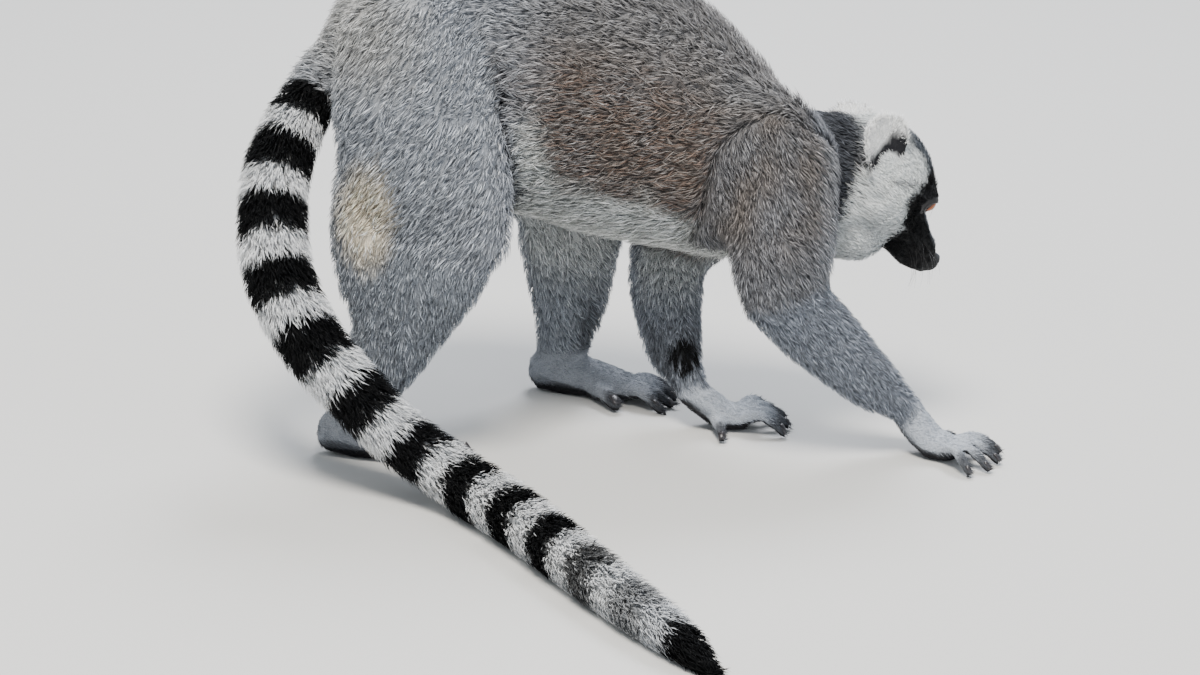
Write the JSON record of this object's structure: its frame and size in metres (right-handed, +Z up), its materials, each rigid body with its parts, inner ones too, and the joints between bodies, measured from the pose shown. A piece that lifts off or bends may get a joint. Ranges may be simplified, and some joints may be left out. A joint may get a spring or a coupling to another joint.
{
  "type": "ring-tailed lemur model",
  "caption": "Life-size still model of a ring-tailed lemur walking on all fours with its head lowered and its banded tail curving down to lie along the floor.",
  "frame": {"origin": "middle of the underside of the whole, on the floor under the belly", "axes": "+X the way the animal walks, +Y towards its left side, +Z up"},
  "size_m": [0.433, 0.4516, 0.2802],
  "materials": {
    "grey_coat": "dense brownish grey fur, matt",
    "white_fur": "short white fur, matt",
    "tail_fur": "long fur in black and white rings, matt",
    "dark_face": "black short-haired skin, satin",
    "hand_and_foot": "short pale fur over dark skin",
    "eye": "wet amber eye, high gloss"
  },
  "bodies": {
    "root": {"ear_left": "white_fur", "ear_right": "white_fur", "eye_left": "eye", "eye_right": "eye", "foot_left": "hand_and_foot", "foot_right": "hand_and_foot", "forearm_left": "grey_coat", "forearm_right": "grey_coat", "hand_left": "hand_and_foot", "hand_right": "hand_and_foot", "head": "white_fur", "muzzle": "dark_face", "neck": "grey_coat", "nose": "dark_face", "shin_left": "grey_coat", "shin_right": "grey_coat", "tail_1": "tail_fur", "tail_2": "tail_fur", "tail_3": "tail_fur", "tail_4": "tail_fur", "tail_5": "tail_fur", "tail_6": "tail_fur", "thigh_left": "grey_coat", "thigh_right": "grey_coat", "trunk": "grey_coat", "upper_arm_left": "grey_coat", "upper_arm_right": "grey_coat"}
  },
  "joints": []
}
